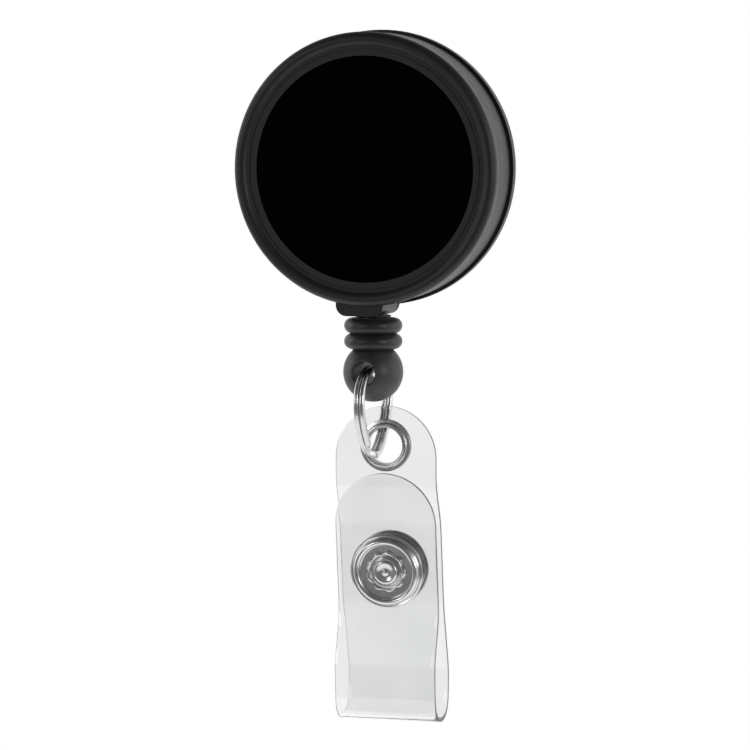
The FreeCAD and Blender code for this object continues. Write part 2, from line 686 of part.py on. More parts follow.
def snap_line(height, side):
    """Depth of one layer's straight stretch at a height: side 1 is the rear layer, -1 the flap."""
    lean = math.radians(size("snap_lean"))
    spacing = size("layer_gap + strap_thick") / 2 / math.cos(lean)
    return size("snap_depth") + side * spacing + math.tan(lean) * (-size("snap_drop") - height)


def snap_frame(item, offset=Vector(0, 0, 0)):
    """Put an item on the snap's leaning axis, its own Z pointing forwards, offset in that frame."""
    lean = math.radians(size("snap_lean"))
    back_way = Vector(0, math.cos(lean), math.sin(lean))
    centre = Vector(size("strap_side"), depth_y(size("snap_depth")), -size("snap_drop"))
    turn = Rotation(Vector(1, 0, 0), FACE_FORWARD + size("snap_lean"))
    item.Placement = Placement(centre + back_way * size("snap_reach") + turn.multVec(offset), turn)
    return item


def snap_hole(label, radius):
    """Cylinder along the snap's axis, long enough to pierce both layers."""
    item = doc.addObject("Part::Cylinder", label)
    item.setExpression("Radius", formula(radius))
    item.Height = 4 * size("snap_reach")
    return snap_frame(item)


def strap_strip(label, route):
    """One bent layer of the strap, square at both ends."""
    strip = bent_strip(*route, size("strap_thick"), size("strap_width"))
    strip.translate(Vector(size("strap_side"), 0, 0))
    return shaped(label, strip)


def strap_back():
    """Rear layer of the clear vinyl strap: flat at the eyelet and the snap, bowed round the loop."""
    depth = size("strap_depth")
    fold = -size("fold_drop")
    edge = size("strap_thick / 2 + fold_gap")
    soft = size("strap_bend")
    middle = -size("back_middle")
    low = -size("back_low")
    route = rounded_route((
        (depth, -size("strap_top"), 0),
        (depth, -size("back_high"), soft),
        (snap_line(middle, 1), middle, soft),
        (snap_line(low, 1), low, size("back_bow")),
        (size("back_bulge_depth"), -size("back_bulge_drop"), soft),
        (size("back_foot_depth"), fold, size("fold_bend")),
        (size("fold_depth") + edge, fold, 0),
    ))
    strip = strap_strip("strap_back_strip", route)
    blank = common("strap_back_blank", strip, tab_outline("strap_back_outline", size("strap_top")))
    eyelet_at = ("strap_side", f"{FACE_Y} + strap_depth + 2", "-eyelet_drop")
    eyelet_hole = solid("Cylinder", "strap_eyelet_hole", at=eyelet_at, tilt=FACE_FORWARD,
                        Radius="eyelet_hole + barrel_wall + 0.03", Height="4")
    return cut("strap_back", blank, eyelet_hole, snap_hole("strap_stud_hole", "stud_hole"))


def strap_flap():
    """Front layer of the strap, from its half-round tip down past the snap to the fold."""
    fold = -size("fold_drop")
    top = -size("flap_top")
    low = -size("flap_low")
    soft = size("strap_bend")
    route = rounded_route((
        (snap_line(top, -1), top, 0),
        (snap_line(low, -1), low, soft),
        (size("flap_bulge_depth"), -size("flap_bulge_drop"), soft),
        (size("flap_foot_depth"), fold, size("fold_bend")),
        (size("fold_depth"), fold, 0),
    ))
    strip = strap_strip("strap_flap_strip", route)
    root_at = ("strap_side - strap_width / 2", f"{FACE_Y} + fold_depth", "-fold_drop")
    root = solid("Cylinder", "flap_root", at=root_at, Radius="strap_thick / 2", Height="strap_width")
    root.Placement.Rotation = Rotation(Vector(0, 1, 0), 90)
    blank = common("strap_flap_blank", fuse("flap_whole", strip, root),
                   tab_outline("strap_flap_outline", size("flap_top")))
    return cut("strap_flap", blank, snap_hole("flap_post_hole", "post_hole"))


def eyelet():
    """Nickel-plated eyelet: barrel and rolled front flange."""
    half = "strap_thick / 2"
    return turned("eyelet", (
        ("eyelet_hole", "0"),
        ("eyelet_hole + barrel_wall", "0"),
        ("eyelet_hole + barrel_wall", "washer_thick + 0.1 + strap_thick"),
        ("eyelet_radius", "washer_thick + 0.1 + strap_thick"),
        ("eyelet_radius", "washer_thick + 0.25 + strap_thick"),
        ("eyelet_radius - 0.3", "2 * washer_thick + 0.2 + strap_thick"),
        ("eyelet_hole + barrel_wall", "2 * washer_thick + 0.2 + strap_thick"),
        ("eyelet_hole", "2 * washer_thick + strap_thick"),
    ), at=("strap_side", f"{FACE_Y} + strap_depth + {half} + washer_thick + 0.1", "-eyelet_drop"),
        tilt=FACE_FORWARD)


def eyelet_washer():
    """Washer that the eyelet's barrel is curled over, on the strap's rear."""
    return turned("eyelet_washer", (
        ("eyelet_hole + barrel_wall + 0.03", "0"),
        ("eyelet_radius", "0"),
        ("eyelet_radius", "washer_thick"),
        ("eyelet_hole + barrel_wall + 0.03", "washer_thick"),
    ), at=("strap_side", f"{FACE_Y} + strap_depth + strap_thick / 2 + washer_thick", "-eyelet_drop"),
        tilt=FACE_FORWARD)


# Heights along the snap's axis, from its rear end forwards.
REAR_FACE = "snap_reach - layer_gap / 2 - strap_thick"
REAR_INNER = "snap_reach - layer_gap / 2"
FLAP_INNER = "snap_reach + layer_gap / 2"
FLAP_FACE = "snap_reach + layer_gap / 2 + strap_thick"


def snap_turned(label, outline):
    return snap_frame(turned_free(label, outline))


def turned_free(label, outline):
    """A turned body whose Placement is left free for the snap's frame."""
    body = turned(label, outline)
    for axis in "xyz":
        body.setExpression(f"Placement.Base.{axis}", None)
    return body


def snap_rivet():
    """Rear cap of the snap: flange and the barrel that holds the stud."""
    return snap_turned("snap_rivet", (
        ("0.6", f"{REAR_FACE} - snap_flange"),
        ("snap_radius - 0.15", f"{REAR_FACE} - snap_flange"),
        ("snap_radius", f"{REAR_FACE} - snap_flange + 0.12"),
        ("snap_radius", REAR_FACE),
        ("stud_hole - 0.05", REAR_FACE),
        ("stud_hole - 0.05", f"{REAR_INNER} + 0.4"),
        ("0", f"{REAR_INNER} + 0.4"),
        ("0", f"{REAR_INNER} + 0.1"),
        ("0.6", f"{REAR_INNER} + 0.1"),
    ))


def snap_stud():
    """Male half of the snap, on the rear layer's inner face."""
    return snap_turned("snap_stud", (
        ("stud_hole", REAR_INNER),
        ("stud_base", REAR_INNER),
        ("stud_base", f"{REAR_INNER} + snap_flange"),
        ("stud_radius - 0.1", f"{REAR_INNER} + snap_flange"),
        ("stud_radius - 0.2", f"{REAR_INNER} + snap_flange + 0.3"),
        ("stud_radius", f"{REAR_INNER} + snap_flange + 0.7"),
        ("stud_radius - 0.25", f"{FLAP_INNER} - 0.3"),
        ("0", f"{FLAP_INNER} - 0.3"),
        ("0", f"{REAR_INNER} + 0.5"),
        ("stud_hole", f"{REAR_INNER} + 0.5"),
    ))


def snap_socket():
    """Female half of the snap, on the flap's inner face."""
    return snap_turned("snap_socket", (
        ("post_hole", f"{FLAP_INNER} - 0.2"),
        ("socket_hole", f"{FLAP_INNER} - 0.2"),
        ("socket_hole", f"{FLAP_INNER} - 0.65"),
        ("socket_radius - 0.2", f"{FLAP_INNER} - 0.65"),
        ("socket_radius", f"{FLAP_INNER} - 0.45"),
        ("socket_radius", FLAP_INNER),
        ("post_hole", FLAP_INNER),
    ))


def snap_ring():
    """Front ring of the snap: a flange on the flap with a rolled edge."""
    flange = snap_turned("snap_ring_flange", (
        ("post_hole + 0.05", FLAP_FACE),
        ("snap_radius", FLAP_FACE),
        ("snap_radius", f"{FLAP_FACE} + snap_flange - 0.12"),
        ("snap_radius - 0.15", f"{FLAP_FACE} + snap_flange"),
        ("post_hole + 0.05", f"{FLAP_FACE} + snap_flange"),
    ))
    roll = doc.addObject("Part::Torus", "snap_ring_roll")
    roll.setExpression("Radius1", formula("roll_middle"))
    roll.setExpression("Radius2", formula("roll_radius"))
    snap_frame(roll, Vector(0, 0, size(f"{FLAP_FACE} + snap_flange + 0.09")))
    return fuse("snap_ring", flange, roll)


def snap_post():
    """Post of the snap's front: barrel through the flap, crimped petals and a dimpled dome."""
    top = f"{FLAP_FACE} + snap_flange"
    barrel = snap_turned("snap_post_barrel", (
        ("0", f"{FLAP_INNER} - 0.15"),
        ("post_hole - 0.05", f"{FLAP_INNER} - 0.15"),
        ("post_hole - 0.05", top + " + 0.02"),
        ("petal_middle", top + " + 0.02"),
        ("petal_middle", top + " + 0.25"),
        ("dome_radius", top + " + 0.2"),
        ("dome_radius - 0.35", top + " + 0.5"),
        ("0.5", top + " + 0.62"),
        ("0.25", top + " + 0.45"),
        ("0", top + " + 0.42"),
    ))
    petals = []
    for number in range(int(size("petal_count"))):
        angle = 2 * math.pi * number / size("petal_count")
        petal = doc.addObject("Part::Cylinder", f"snap_petal_{number}")
        petal.setExpression("Radius", formula("petal_radius"))
        petal.Height = 0.3
        middle = size("petal_middle")
        offset = Vector(middle * math.cos(angle), middle * math.sin(angle), size(top + " + 0.02"))
        petals.append(snap_frame(petal, offset))
    return fuse("snap_post", barrel, *petals)


PIECES = [
    front_shell(), face_disc(), rear_shell(), cord_outlet(),
    clip_base(), clip_arm(), clip_rivet(),
    spool(), spring_cover(), spiral_spring(), wound_cord(), cord(), cord_knot(),
    bumper_ring("bumper_ring_upper", 0), bumper_ring("bumper_ring_lower", 1), ball_connector(),
    split_ring(),
    strap_back(), eyelet(), eyelet_washer(), snap_rivet(), snap_stud(),
    strap_flap(), snap_socket(), snap_ring(), snap_post(),
]
doc.recompute()

for item in doc.Objects:
    if {"Invalid", "Error"} & set(item.State):
        raise RuntimeError(f"{item.Label} failed: {item.State}")
for piece in PIECES:
    shape = piece.Shape
    if shape.isNull() or not shape.isValid() or len(shape.Solids) != 1:
        raise RuntimeError(f"{piece.Label}: not one valid solid")

os.makedirs("parts", exist_ok=True)
for piece in PIECES:
    piece.Shape.exportStep(os.path.join("parts", piece.Label + ".step"))
    box = piece.Shape.BoundBox
    print(f"{piece.Label:20s} {piece.Shape.Volume:9.2f} mm3   z {box.ZMin:7.2f} {box.ZMax:7.2f}")
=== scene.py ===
import math

import bmesh
import bpy
from mathutils import Matrix, Vector
from mathutils.geometry import delaunay_2d_cdt


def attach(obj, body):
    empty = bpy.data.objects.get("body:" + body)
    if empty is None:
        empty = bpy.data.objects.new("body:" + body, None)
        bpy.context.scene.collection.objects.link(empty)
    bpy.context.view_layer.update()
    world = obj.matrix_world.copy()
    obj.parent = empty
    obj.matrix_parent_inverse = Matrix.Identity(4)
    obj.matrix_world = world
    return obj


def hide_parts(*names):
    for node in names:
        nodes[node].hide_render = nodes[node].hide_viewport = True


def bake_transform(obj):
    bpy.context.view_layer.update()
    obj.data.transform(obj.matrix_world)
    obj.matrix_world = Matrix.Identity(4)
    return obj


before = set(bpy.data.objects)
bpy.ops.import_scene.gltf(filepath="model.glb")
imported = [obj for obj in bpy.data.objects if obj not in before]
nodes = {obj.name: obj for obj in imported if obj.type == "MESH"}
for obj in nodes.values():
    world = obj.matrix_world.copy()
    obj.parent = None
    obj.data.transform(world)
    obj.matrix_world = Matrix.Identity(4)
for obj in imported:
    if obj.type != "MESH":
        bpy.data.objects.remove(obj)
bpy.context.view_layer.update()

MM = 0.001
scene = bpy.context.scene


# ---------------------------------------------------------------- studio
# A bright paper disc underneath, two soft boxes in front and two at the sides, and dark above and in front, so
# that black plastic shows narrow soft highlights and the nickel has something dark to mirror.

def linear(code):
    """sRGB hex colour as linear red, green and blue with alpha 1."""
    channels = (int(code[i:i + 2], 16) / 255 for i in (1, 3, 5))
    return (*(c / 12.92 if c <= 0.04045 else ((c + 0.055) / 1.055) ** 2.4 for c in channels), 1.0)


def add(tree, kind, settings=None, **inputs):
    """Adds a node; settings are its own properties, inputs are values or sockets by name."""
    node = tree.nodes.new(kind)
    for name, value in (settings or {}).items():
        setattr(node, name, value)
    for name, value in inputs.items():
        socket = node.inputs[int(name[1:])] if name[1:].isdigit() else node.inputs[name.replace("_", " ")]
        if isinstance(value, bpy.types.NodeSocket):
            tree.links.new(value, socket)
        else:
            socket.default_value = value
    return node


scene.view_settings.view_transform = "Standard"

camera = bpy.data.objects.new("camera", bpy.data.cameras.new("camera"))
scene.collection.objects.link(camera)
scene.camera = camera
camera.data.lens = 246.3
camera.data.sensor_width = 36.0
camera.data.clip_start = 0.05
camera.data.clip_end = 200.0
camera.location = Vector((181.8, -583.0, 21.0)) * MM
aim = Vector((1.35, -10.8, -24.1)) * MM
camera.rotation_euler = (aim - camera.location).to_track_quat("-Z", "Y").to_euler()

world = bpy.data.worlds.new("studio")
scene.world = world
world.use_nodes = True
air = world.node_tree
air.nodes.clear()
around = add(air, "ShaderNodeTexCoord")
direction = add(air, "ShaderNodeSeparateXYZ", Vector=around.outputs["Generated"])
behind = add(air, "ShaderNodeMapRange", {"interpolation_type": "SMOOTHSTEP"}, Value=direction.outputs["Y"],
             From_Min=-0.85, From_Max=0.65, To_Min=0.19, To_Max=0.97)
overhead = add(air, "ShaderNodeMapRange", {"interpolation_type": "SMOOTHSTEP"}, Value=direction.outputs["Z"],
               From_Min=0.30, From_Max=0.85, To_Min=1.0, To_Max=0.22)
below = add(air, "ShaderNodeMapRange", {"interpolation_type": "SMOOTHSTEP"}, Value=direction.outputs["Z"],
            From_Min=-0.90, From_Max=-0.40, To_Min=0.8, To_Max=0.0)
around_front = add(air, "ShaderNodeMath", {"operation": "MAXIMUM"}, _0=behind.outputs["Result"],
                   _1=below.outputs["Result"])
glow = add(air, "ShaderNodeMath", {"operation": "MULTIPLY"}, _0=around_front.outputs["Value"],
           _1=overhead.outputs["Result"])
seen = add(air, "ShaderNodeLightPath")
strength = add(air, "ShaderNodeMix", Factor=seen.outputs["Is Camera Ray"], A=glow.outputs["Value"], B=1.0)
background = add(air, "ShaderNodeBackground", Color=linear("#ffffff"), Strength=strength.outputs["Result"])
add(air, "ShaderNodeOutputWorld", Surface=background.outputs["Background"])


def soft_box(name, azimuth, elevation, distance, width, height, watts):
    """A rectangular soft light aimed at the middle of the object."""
    lamp = bpy.data.lights.new(name, "AREA")
    lamp.shape = "RECTANGLE"
    lamp.size, lamp.size_y, lamp.energy = width, height, watts
    box = bpy.data.objects.new(name, lamp)
    scene.collection.objects.link(box)
    a, e = math.radians(azimuth), math.radians(elevation)
    away = Vector((math.sin(a) * math.cos(e), -math.cos(a) * math.cos(e), math.sin(e)))
    centre = Vector((0, 0, -0.02))
    box.location = centre + away * distance
    box.rotation_euler = (-away).to_track_quat("-Z", "Y").to_euler()


soft_box("light_right", 60, 8, 1.1, 0.22, 0.42, 1.7)
soft_box("light_left", -34, 8, 1.1, 0.20, 0.40, 1.0)
soft_box("light_side_right", 108, 10, 1.3, 0.5, 0.9, 1.3)
soft_box("light_side_left", -88, 10, 1.3, 0.5, 0.9, 2.2)

FLOOR_Z = -112.0
FLOOR_RADIUS = 0.12


def paper_table():
    """Matt white paper that glows a little, like a light table."""
    mesh = bpy.data.meshes.new("floor")
    bm = bmesh.new()
    bmesh.ops.create_circle(bm, cap_ends=True, segments=96, radius=FLOOR_RADIUS)
    bm.to_mesh(mesh)
    bm.free()
    floor = bpy.data.objects.new("floor", mesh)
    scene.collection.objects.link(floor)
    floor.location = Vector((0, -5.0, FLOOR_Z)) * MM
    paper = bpy.data.materials.new("matt_white_paper")
    paper.use_nodes = True
    tree = paper.node_tree
    place = add(tree, "ShaderNodeTexCoord")
    # paper fibres, about 0.5 mm long
    fibre = add(tree, "ShaderNodeTexNoise", Vector=place.outputs["Object"], Scale=1 / (0.5 * MM), Detail=3.0)
    tone = add(tree, "ShaderNodeMapRange", Value=fibre.outputs["Fac"], To_Min=0.40, To_Max=0.43)
    shader = tree.nodes["Principled BSDF"]
    tree.links.new(tone.outputs["Result"], shader.inputs["Base Color"])
    shader.inputs["Roughness"].default_value = 0.9
    shader.inputs["Specular IOR Level"].default_value = 0.1
    shader.inputs["Emission Color"].default_value = linear("#ffffff")
    shader.inputs["Emission Strength"].default_value = 0.92
    mesh.materials.append(paper)


paper_table()


# ---------------------------------------------------------------- housing
# Two shallow cups of black ABS pressed together, with a bead-edged bezel in front, a dark parting groove
# round the side and a short boss at the bottom for the cord. Injection moulded in a satin-polished tool.

def finish_material(name, colour, roughness, **extra):
    """A new material with its shader's plain values set, its tree, its shader and its object coordinates."""
    material = bpy.data.materials.new(name)
    material.use_nodes = True
    tree = material.node_tree
    shader = tree.nodes["Principled BSDF"]
    shader.inputs["Base Color"].default_value = linear(colour)
    shader.inputs["Roughness"].default_value = roughness
    for socket, value in extra.items():
        shader.inputs[socket.replace("_", " ")].default_value = value
    place = add(tree, "ShaderNodeTexCoord").outputs["Object"]
    return material, tree, shader, place


def grain(tree, place, size_mm, detail=3.0, stretch=None, roughness=0.5):
    """Noise whose blotches are about size_mm across; stretch scales the three axes."""
    if stretch:
        place = add(tree, "ShaderNodeMapping", Vector=place, Scale=stretch).outputs["Vector"]
    return add(tree, "ShaderNodeTexNoise", Vector=place, Scale=1 / (size_mm * MM), Detail=detail,
               Roughness=roughness).outputs["Fac"]


def vary(tree, shader, socket, source, low, high):
    """Lets a noise move a shader value between low and high."""
    spread = add(tree, "ShaderNodeMapRange", Value=source, From_Min=0.3, From_Max=0.7,
                 To_Min=low, To_Max=high)
    tree.links.new(spread.outputs["Result"], shader.inputs[socket])


def tint(tree, shader, source, dark, light):
    """Lets a noise move the base colour between two hex colours."""
    blend = add(tree, "ShaderNodeMix", {"data_type": "RGBA"}, Factor=source,
                _6=linear(dark), _7=linear(light))
    tree.links.new(blend.outputs[2], shader.inputs["Base Color"])


def emboss(tree, shader, layers):
    """Chains bumps of (height source, depth in mm, strength)."""
    normal = None
    for source, depth, strength in layers:
        bump = add(tree, "ShaderNodeBump", Strength=strength, Distance=depth * MM, Height=source)
        if normal:
            tree.links.new(normal, bump.inputs["Normal"])
        normal = bump.outputs["Normal"]
    tree.links.new(normal, shader.inputs["Normal"])


def dress(piece, material):
    """One material on every slot of a piece or CAD node."""
    if not piece.material_slots:
        piece.data.materials.append(material)
    for place in piece.material_slots:
        place.material = material


def moulded_abs():
    """Satin black ABS: deep black with a soft broad sheen, faint flow waves and handling scuffs."""
    material, tree, shader, place = finish_material("moulded_black_abs", "#212122", 0.42, IOR=1.5,
                                                    Specular_IOR_Level=0.42)
    waves = grain(tree, place, 3.5)
    pores = grain(tree, place, 0.12, detail=2.0)
    scuff = grain(tree, place, 0.9, detail=6.0, stretch=(1.0, 1.0, 0.25), roughness=0.7)
    vary(tree, shader, "Roughness", scuff, 0.36, 0.48)
    tint(tree, shader, waves, "#1c1c1d", "#262627")
    emboss(tree, shader, [(waves, 0.05, 0.12), (pores, 0.004, 0.35)])
    return material


abs_black = moulded_abs()
for name in ("front_shell", "rear_shell", "cord_outlet"):
    dress(nodes[name], abs_black)


# The label disc is a plain black polyester blank, printed matt and glued in the bezel's recess.

def matt_label():
    """Printed matt film: the deepest black on the reel, with an almost invisible dry grain."""
    material, tree, shader, place = finish_material("matt_black_label_film", "#010101", 0.75,
                                                    Specular_IOR_Level=0.02)
    speck = grain(tree, place, 0.08, detail=2.0)
    vary(tree, shader, "Roughness", speck, 0.68, 0.82)
    tint(tree, shader, grain(tree, place, 2.0), "#000000", "#020202")
    emboss(tree, shader, [(speck, 0.003, 0.3)])
    return material


dress(nodes["face_disc"], matt_label())


# ---------------------------------------------------------------- belt clip
# One strip of nickel-plated spring steel, 12 mm wide, bent over at the top and flared at its tip. Its base
# is riveted through the rear shell into the axle post.

def brushed_steel():
    """Nickel over brushed spring steel: bright, with fine lines along the strip that stretch highlights."""
    material, tree, shader, place = finish_material("nickelled_spring_steel", "#b9b8b4", 0.28, Metallic=1.0)
    lines = grain(tree, place, 0.06, detail=2.0, stretch=(1.0, 1.0, 0.02))
    vary(tree, shader, "Roughness", lines, 0.2, 0.38)
    tint(tree, shader, grain(tree, place, 1.5), "#aeada9", "#c2c1bd")
    emboss(tree, shader, [(lines, 0.004, 0.4)])
    return material


steel = brushed_steel()


def build(name, points, faces, body=None, material=None, sharp=32.0):
    """A piece from points in mm and faces, smooth except at edges sharper than the given degrees."""
    mesh = bpy.data.meshes.new(name)
    mesh.from_pydata([Vector(p) * MM for p in points], [], faces)
    bm = bmesh.new()
    bm.from_mesh(mesh)
    bmesh.ops.recalc_face_normals(bm, faces=bm.faces)
    bm.to_mesh(mesh)
    bm.free()
    mesh.shade_smooth()
    mesh.set_sharp_from_angle(angle=math.radians(sharp))
    piece = bpy.data.objects.new(name, mesh)
    scene.collection.objects.link(piece)
    if material:
        dress(piece, material)
    if body:
        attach(piece, body)
    return piece


def bend_line(corners, step=0.2):
    """Points every step mm along straight runs between (y, z, radius) corners, each corner an arc."""
    points = [Vector((y, z)) for y, z, bend in corners]
    line = [points[0]]
    for before, here, after, corner in zip(points, points[1:], points[2:], corners[1:]):
        way_in = (here - before).normalized()
        way_out = (after - here).normalized()
        turn = way_in.angle_signed(way_out)
        trim = abs(math.tan(turn / 2)) * corner[2]
        line += [here - way_in * trim, here + way_out * trim]
        start = line[-2]
        side = Vector((-way_in.y, way_in.x)) * (-1 if turn > 0 else 1)
        centre = start + side * corner[2]
        count = max(2, int(abs(turn) * corner[2] / step))
        arc = []
        for k in range(1, count):
            spin = Matrix.Rotation(-turn * k / count, 2)
            arc.append(centre + spin @ (start - centre))
        line[-1:-1] = arc
    line.append(points[-1])
    even = [line[0]]
    for a, b in zip(line, line[1:]):
        count = max(1, round((b - a).length / step))
        even += [a.lerp(b, k / count) for k in range(1, count + 1)]
    return even


def soften(line, rounds):
    """Relaxes the bends of a line, its ends fixed."""
    for _ in range(rounds):
        inner = [a * 0.25 + b * 0.5 + c * 0.25 for a, b, c in zip(line, line[1:], line[2:])]
        line = [line[0]] + inner + [line[-1]]
    return line


def along(line):
    """A function from a distance along a (y, z) line to its point and left-hand normal."""
    lengths = [0.0]
    for a, b in zip(line, line[1:]):
        lengths.append(lengths[-1] + (b - a).length)
    ways = [(b - a).normalized() for a, b in zip(line, line[1:])]
    turned = [ways[0]] + [(a + b).normalized() for a, b in zip(ways, ways[1:])] + [ways[-1]]

    def at(distance):
        low = 0
        high = len(lengths) - 2
        while low < high:
            middle = (low + high + 1) // 2
            low, high = (middle, high) if lengths[middle] <= distance else (low, middle - 1)
        share = (distance - lengths[low]) / (lengths[low + 1] - lengths[low])
        point = line[low].lerp(line[low + 1], share)
        way = turned[low].lerp(turned[low + 1], min(max(share, 0.0), 1.0)).normalized()
        return point, Vector((-way.y, way.x))

    return at, lengths[-1]


def circle_points(centre, radius, count):
    return [Vector((centre[0] + radius * math.cos(2 * math.pi * k / count),
                    centre[1] + radius * math.sin(2 * math.pi * k / count))) for k in range(count)]


def inside(point, loop):
    """Whether a point lies in a closed loop."""
    hit = False
    for a, b in zip(loop, loop[1:] + loop[:1]):
        if (a.y > point.y) != (b.y > point.y):
            if point.x < (b.x - a.x) * (point.y - a.y) / (b.y - a.y) + a.x:
                hit = not hit
    return hit


def bent_sheet(name, line, outline, holes, thick, edge, closed=True, spacing=0.7, aside=0.0, **look):
    """A sheet cut to an outline and bent along a line.

    outline(inset) gives points (distance along the line, x), holes are (distance, radius). The edges of
    the outline and of the holes are rounded by edge, and aside moves it all along X. Where closed is
    False the outline's two ends aren't joined by a wall, and the sheet goes on in its neighbour there.
    """
    at, length = along(line)
    rings = []
    for k in range(4):
        a = math.radians(90 * k / 3)
        rings.append((edge * (1 - math.sin(a)), thick / 2 - edge * (1 - math.cos(a))))
    levels = rings + [(inset, -height) for inset, height in reversed(rings)]

    def loops(inset):
        rims = [circle_points((distance, 0.0), radius + inset, 48) for distance, radius in holes]
        return [outline(inset)] + rims

    flat = loops(edge)
    border = flat[0]
    flat_points = [p for loop in flat for p in loop]
    edges = []
    first = 0
    for loop in flat:
        edges += [(first + k, first + (k + 1) % len(loop)) for k in range(len(loop))]
        first += len(loop)
    rim_count = len(flat_points)
    lows = [min(p[axis] for p in border) for axis in (0, 1)]
    highs = [max(p[axis] for p in border) for axis in (0, 1)]
    counts = [max(2, int((high - low) / spacing)) for low, high in zip(lows, highs)]
    clear = 0.45 * spacing
    for i in range(1, counts[0]):
        for j in range(1, counts[1]):
            p = Vector((lows[0] + (highs[0] - lows[0]) * i / counts[0],
                        lows[1] + (highs[1] - lows[1]) * j / counts[1]))
            if not inside(p, border) or any((p - Vector((d, 0))).length < r + edge + clear for d, r in holes):
                continue
            if min((p - q).length for q in border) > clear:
                flat_points.append(p)
    made = delaunay_2d_cdt(flat_points, edges, [], 1, 1e-6)

    def in_hole(face):
        middle = sum((made[0][v] for v in face), Vector((0, 0))) / 3
        return any((middle - Vector((d, 0))).length < r + edge * 0.9 for d, r in holes)

    cells = [f for f in made[2] if not in_hole(f)]
    source = {}
    for new, olds in enumerate(made[3]):
        for old in olds:
            source[old] = new

    points = []
    faces = []

    def lift(p, height):
        spot, normal = at(p[0])
        spot = spot + normal * height
        points.append((p[1] + aside, spot.x, spot.y))
        return len(points) - 1

    top = [lift(p, levels[0][1]) for p in made[0]]
    bottom = [lift(p, levels[-1][1]) for p in made[0]]
    faces += [tuple(top[v] for v in f) for f in cells]
    faces += [tuple(bottom[v] for v in reversed(f)) for f in cells]
    offset = 0
    for number, loop in enumerate(flat):
        count = len(loop)
        rows = [[top[source[offset + k]] for k in range(count)]]
        for inset, height in levels[1:-1]:
            rows.append([lift(p, height) for p in loops(inset)[number]])
        rows.append([bottom[source[offset + k]] for k in range(count)])
        last = count if closed or number else count - 1
        for upper, lower in zip(rows, rows[1:]):
            for k in range(last):
                n = (k + 1) % count
                faces.append((upper[k], upper[n], lower[n], lower[k]))
        offset += count
    return build(name, points, faces, **look)


CLIP_HALF = 6.0
CLIP_THICK = 0.6
clip_bend = 1.5
clip_foot_z = -9.0
clip_top_z = 11.5
down = math.radians(-95)
arm_line = [(-clip_bend, clip_foot_z, 0), (-clip_bend, clip_top_z + clip_bend, clip_bend),
            (clip_bend, clip_top_z + clip_bend, clip_bend), (clip_bend, 1.63, 20.0)]
tip = Vector((clip_bend, 1.63)) + Vector((math.cos(down), math.sin(down))) * (0.87 + 12 + 1.24)
flare = math.radians(-50)
arm_line += [(tip.x, tip.y, 3.0), (tip.x + math.cos(flare) * 3.04, tip.y + math.sin(flare) * 3.04, 0)]
clip_line = bend_line(arm_line)
clip_length = along(clip_line)[1]


def clip_outline(inset):
    """Rectangle with its four corners rounded."""
    corner = 2.0
    loop = []
    for end, x, start in ((clip_length, -1, 270), (clip_length, 1, 0), (0, 1, 90), (0, -1, 180)):
        centre = Vector((end - corner if end else corner, x * (CLIP_HALF - corner)))
        for k in range(9):
            a = math.radians(start + 90 * k / 8)
            loop.append(centre + Vector((math.cos(a), math.sin(a))) * (corner - inset))
    return loop


clip = bent_sheet("belt_clip", clip_line, clip_outline, [(9.0, 0.8)], CLIP_THICK, 0.1, material=steel)
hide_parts("clip_base", "clip_arm")
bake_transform(clip)


def round_corners(rows, steps=4):
    """Rows of (radius, height[, fillet]) with each given fillet turned to an arc."""
    out = []
    for k, row in enumerate(rows):
        here = Vector(row[:2])
        if len(row) < 3:
            out.append(here)
            continue
        back = Vector(rows[k - 1][:2]) - here
        on = Vector(rows[(k + 1) % len(rows)][:2]) - here
        half = back.angle(on) / 2
        trim = min(row[2] / math.tan(half), 0.48 * back.length, 0.48 * on.length)
        radius = trim * math.tan(half)
        centre = here + (back.normalized() + on.normalized()).normalized() * (radius / math.sin(half))
        first = here + back.normalized() * trim - centre
        sweep = first.angle_signed(here + on.normalized() * trim - centre)
        out += [centre + Matrix.Rotation(-sweep * n / steps, 2) @ first for n in range(steps + 1)]
    return out


def turned_points(rows, where, segments=96, wave=None):
    """Points and faces of a closed outline turned about a frame's Z axis; wave(row, angle) adds to it."""
    points = []
    rings = []
    for number, row in enumerate(rows):
        if row[0] < 1e-6:
            points.append(where @ Vector((0, 0, row[1])))
            rings.append([len(points) - 1])
            continue
        ring = []
        for k in range(segments):
            angle = 2 * math.pi * k / segments
            more = wave(number, angle) if wave else (0.0, 0.0)
            radius = row[0] + more[0]
            spot = Vector((radius * math.cos(angle), radius * math.sin(angle), row[1] + more[1]))
            points.append(where @ spot)
            ring.append(len(points) - 1)
        rings.append(ring)
    faces = []
    for a, b in zip(rings, rings[1:] + rings[:1]):
        for k in range(segments):
            n = (k + 1) % segments
            if len(a) > 1 and len(b) > 1:
                faces.append((a[k], a[n], b[n], b[k]))
            elif len(a) > 1:
                faces.append((a[k], a[n], b[0]))
            elif len(b) > 1:
                faces.append((a[0], b[n], b[k]))
    return points, faces


def turned(name, rows, where, segments=96, wave=None, **look):
    """A piece turned from an outline about the Z axis of a frame."""
    return build(name, *turned_points(round_corners(rows), where, segments, wave), **look)


def axle_frame(y, z=0.0, lean=0.0, x=0.0):
    """Frame whose Z axis points forwards from a point."""
    return Matrix.Translation((x, y, z)) @ Matrix.Rotation(math.radians(90 + lean), 4, "X")


rivet = turned("clip_rivet_head", [
    (0, 0.06), (0.5, 0.0, 0.2), (1.3, 0.0, 0.5), (2.2, 0.35, 0.1), (2.2, 0.45), (0.8, 0.45), (0.8, 5.55),
    (0, 5.55),
], axle_frame(-0.75), body="housing", material=steel)
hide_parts("clip_rivet")


# ---------------------------------------------------------------- spool, spring and winding
# Inside the shells: a moulded acetal spool with the cord on its drum and a blued steel clock spring in its
# cup, under a thin acetal cover.

